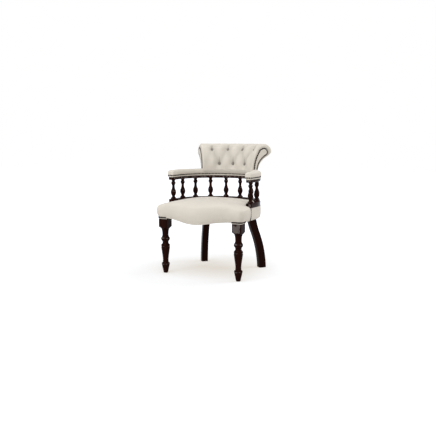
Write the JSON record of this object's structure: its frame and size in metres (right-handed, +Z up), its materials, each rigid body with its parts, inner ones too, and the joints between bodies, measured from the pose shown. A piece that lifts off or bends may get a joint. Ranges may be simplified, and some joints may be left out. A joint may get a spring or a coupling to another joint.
{
  "type": "captains chair",
  "caption": "Low tub chair with a padded horseshoe arm rail on a turned spindle gallery, a buttoned scroll back, a domed bow-front seat, turned front legs and bowed back legs.",
  "frame": {"origin": "on the floor under the middle of the whole chair", "axes": "+Z up, the sitter faces -Y, +X is to the sitter's left"},
  "size_m": [0.634, 0.6938, 0.8445],
  "materials": {
    "mahogany": "dark polished",
    "beech": "raw",
    "linen": "matte woven",
    "black_cloth": "matte",
    "jute": "matte woven"
  },
  "bodies": {
    "root": {"arm_pad": "linen", "back_core": "beech", "back_leg_left": "mahogany", "back_leg_right": "mahogany", "back_outside_panel": "linen", "back_padding": "linen", "button_high_4": "linen", "button_high_5": "linen", "button_high_6": "linen", "button_high_7": "linen", "button_low_1": "linen", "button_low_2": "linen", "button_low_3": "linen", "corner_block_left": "beech", "corner_block_right": "beech", "dust_cover": "black_cloth", "front_leg_left": "mahogany", "front_leg_right": "mahogany", "lower_rail": "mahogany", "scroll_facing_left": "linen", "scroll_facing_right": "linen", "seat_band": "linen", "seat_cushion": "linen", "seat_rail_back": "beech", "seat_rail_front": "beech", "seat_rail_left": "beech", "seat_rail_right": "beech", "spindle_1": "mahogany", "spindle_10": "mahogany", "spindle_2": "mahogany", "spindle_3": "mahogany", "spindle_4": "mahogany", "spindle_5": "mahogany", "spindle_6": "mahogany", "spindle_7": "mahogany", "spindle_8": "mahogany", "spindle_9": "mahogany", "upper_rail": "mahogany", "webbing": "jute"}
  },
  "joints": []
}
